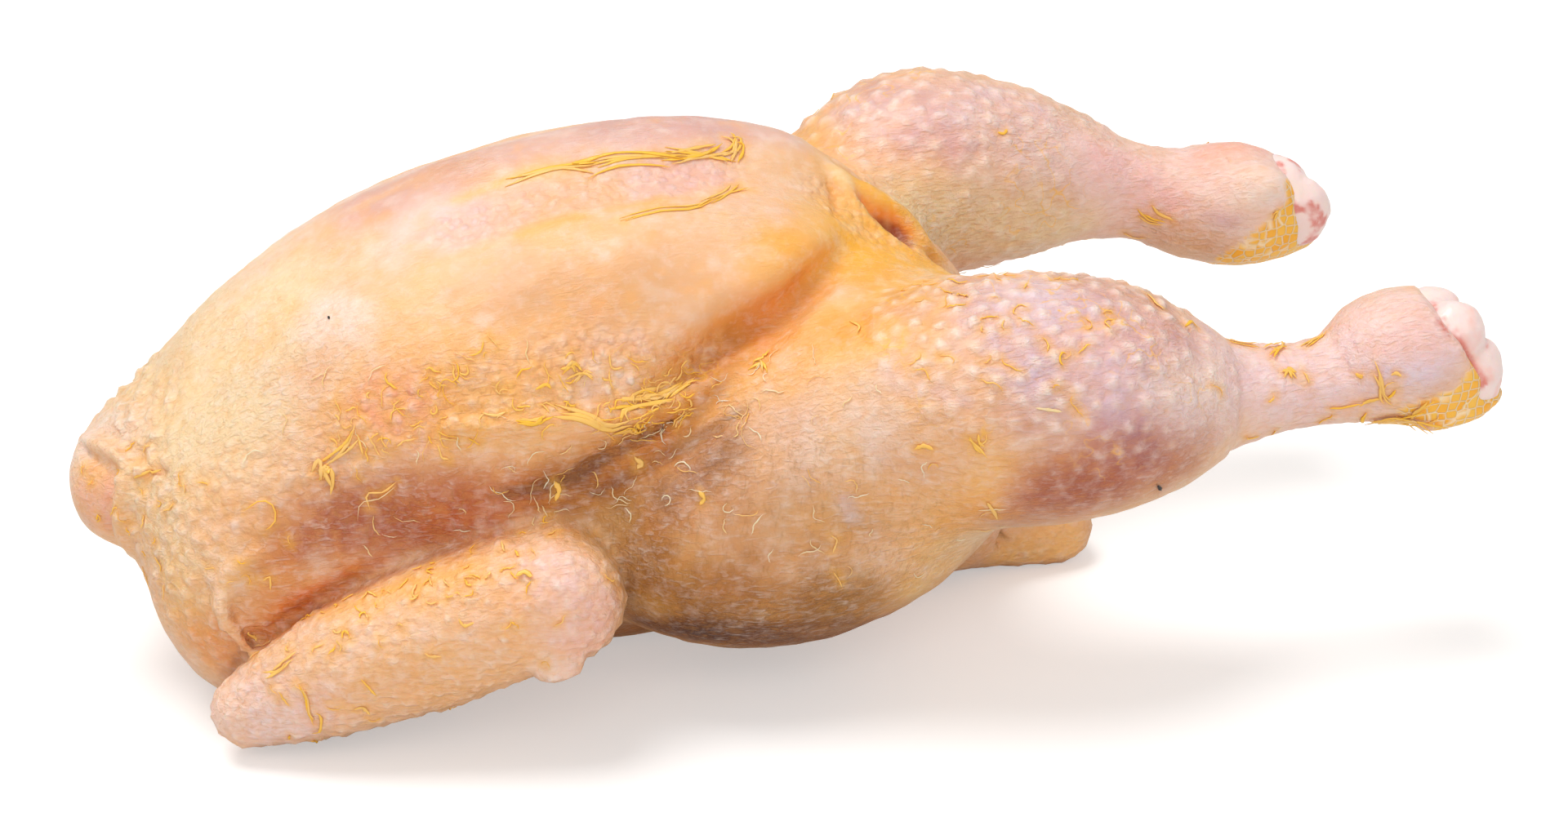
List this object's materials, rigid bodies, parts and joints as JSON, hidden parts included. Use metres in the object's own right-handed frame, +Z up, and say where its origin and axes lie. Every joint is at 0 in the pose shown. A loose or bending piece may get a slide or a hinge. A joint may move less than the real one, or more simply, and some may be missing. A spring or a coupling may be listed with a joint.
{
  "type": "whole raw chicken",
  "caption": "Whole raw chicken, plucked and drawn, head and feet off, lying on its back with bare hock ends and folded wings.",
  "frame": {"origin": "centre of the bounding box in plan, on the surface the bird lies on", "axes": "+X from the neck to the hocks, +Y to the bird's left side, +Z up from its back to its breast"},
  "size_m": [0.3272, 0.1654, 0.1231],
  "materials": {
    "skin": "moist raw skin"
  },
  "bodies": {
    "root": {"whole_chicken": "skin"}
  },
  "joints": []
}
